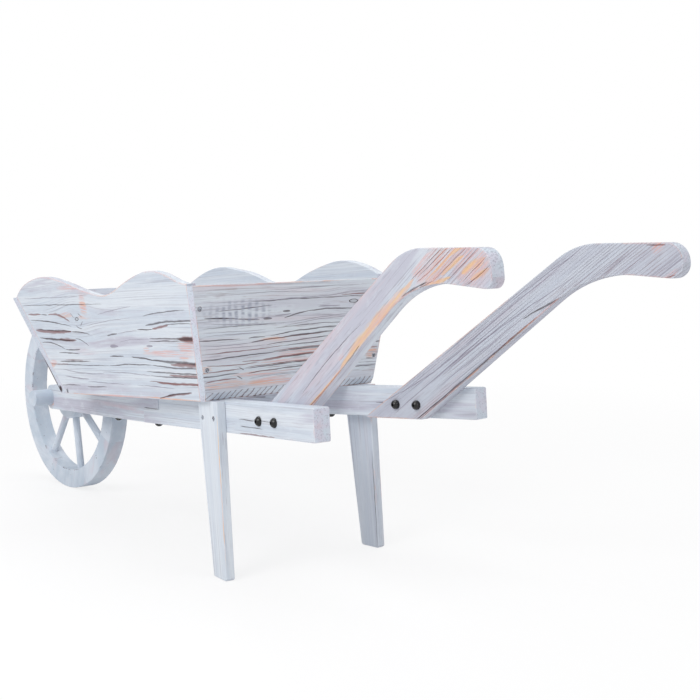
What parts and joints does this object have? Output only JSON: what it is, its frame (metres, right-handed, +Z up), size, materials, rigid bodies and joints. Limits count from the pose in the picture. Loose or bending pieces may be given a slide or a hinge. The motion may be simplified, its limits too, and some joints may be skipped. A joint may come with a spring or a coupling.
{
  "type": "decorative wheelbarrow planter",
  "caption": "Rustic wooden wheelbarrow planter with scalloped sides, raked front and rear boards, two legs, curved handles and a spoked wooden wheel that turns.",
  "frame": {"origin": "bottom centre of the bounding box: on the ground, midway between the wheel's front and the right handle's tip, on the middle line", "axes": "+X back towards the handles, +Y to the right hand of a person between the handles, +Z up"},
  "size_m": [1.4452, 0.3756, 0.4813],
  "materials": {
    "frame_wood": "rough sawn fir under worn whitewash, edges rubbed through to orange wood",
    "box_wood": "rough sawn fir under worn whitewash, dark open grain",
    "wheel_wood": "smooth wood under pale bluish white paint",
    "black_steel": "glossy black",
    "zinc_steel": "dull zinc plate"
  },
  "bodies": {
    "barrow": {"rail_rear_left": "frame_wood", "rail_rear_right": "frame_wood", "rail_front_left": "frame_wood", "rail_front_right": "frame_wood", "leg_left": "frame_wood", "leg_right": "frame_wood", "handle_left": "frame_wood", "handle_right": "frame_wood", "side_board_left": "box_wood", "side_board_right": "box_wood", "front_board": "box_wood", "rear_board": "box_wood", "floor_plank_1": "box_wood", "floor_plank_2": "box_wood", "floor_plank_3": "box_wood", "floor_plank_4": "box_wood", "floor_plank_5": "box_wood", "handle_bolts": "black_steel", "handle_cap_nuts": "black_steel", "rail_bolts": "black_steel", "rail_bolt_washers": "zinc_steel", "rail_bolt_nuts": "zinc_steel", "leg_screws": "zinc_steel", "rear_board_screws": "zinc_steel", "front_board_screws": "zinc_steel", "side_board_screws": "zinc_steel", "floor_screws": "zinc_steel"},
    "wheel": {"hub": "wheel_wood", "axle": "wheel_wood", "felloe_1": "wheel_wood", "felloe_2": "wheel_wood", "felloe_3": "wheel_wood", "felloe_4": "wheel_wood", "spoke_1": "wheel_wood", "spoke_2": "wheel_wood", "spoke_3": "wheel_wood", "spoke_4": "wheel_wood", "spoke_5": "wheel_wood", "spoke_6": "wheel_wood", "spoke_7": "wheel_wood", "spoke_8": "wheel_wood"}
  },
  "joints": [
    {"name": "wheel_spin", "type": "hinge", "parent": "barrow", "child": "wheel", "pos_m": [-0.5476, 0, 0.175], "axis": [0, 1, 0], "continuous": true}
  ]
}
